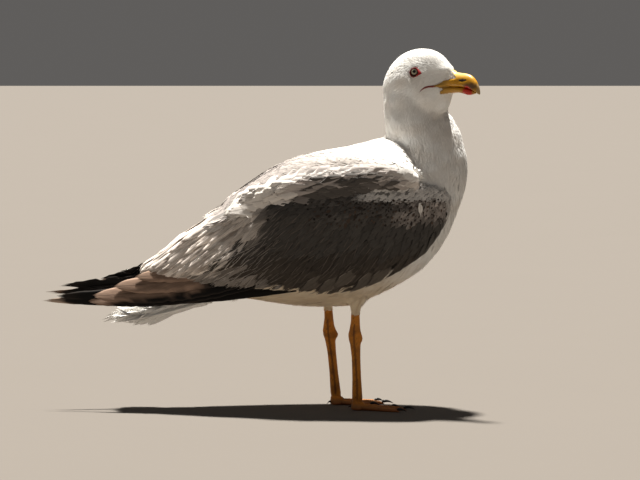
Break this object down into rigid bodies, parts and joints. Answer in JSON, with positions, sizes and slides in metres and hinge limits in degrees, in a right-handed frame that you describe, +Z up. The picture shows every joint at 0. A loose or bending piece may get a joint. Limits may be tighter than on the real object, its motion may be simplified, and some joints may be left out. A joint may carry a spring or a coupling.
{
  "type": "standing gull",
  "caption": "Life-size still model of a standing yellow-legged gull, head turned to its right, wings folded.",
  "frame": {"origin": "on the floor under the middle of the model's bounding box", "axes": "+X the way the body faces, from tail to breast; +Y the bird's left; +Z up"},
  "size_m": [0.4804, 0.1546, 0.3959],
  "materials": {
    "plumage_flesh": "matte",
    "plumage_white": "matte",
    "plumage_grey": "matte",
    "plumage_wing": "matte",
    "flight_feather": "satin",
    "bill_horn": "satin",
    "eye": "gloss",
    "leg_skin": "satin",
    "claw_horn": "satin"
  },
  "bodies": {
    "root": {"head": "plumage_flesh", "neck": "plumage_flesh", "trunk": "plumage_flesh", "rump": "plumage_white", "tail": "plumage_white", "bill_upper": "bill_horn", "bill_lower": "bill_horn", "eye_right": "eye", "scapulars_right": "plumage_grey", "wing_right": "plumage_wing", "primaries_right": "flight_feather", "thigh_right": "plumage_flesh", "shank_right": "leg_skin", "foot_right": "leg_skin", "claw_right_inner": "claw_horn", "claw_right_middle": "claw_horn", "claw_right_outer": "claw_horn", "claw_right_hind": "claw_horn", "eye_left": "eye", "scapulars_left": "plumage_grey", "wing_left": "plumage_wing", "primaries_left": "flight_feather", "thigh_left": "plumage_flesh", "shank_left": "leg_skin", "foot_left": "leg_skin", "claw_left_inner": "claw_horn", "claw_left_middle": "claw_horn", "claw_left_outer": "claw_horn", "claw_left_hind": "claw_horn"}
  },
  "joints": []
}
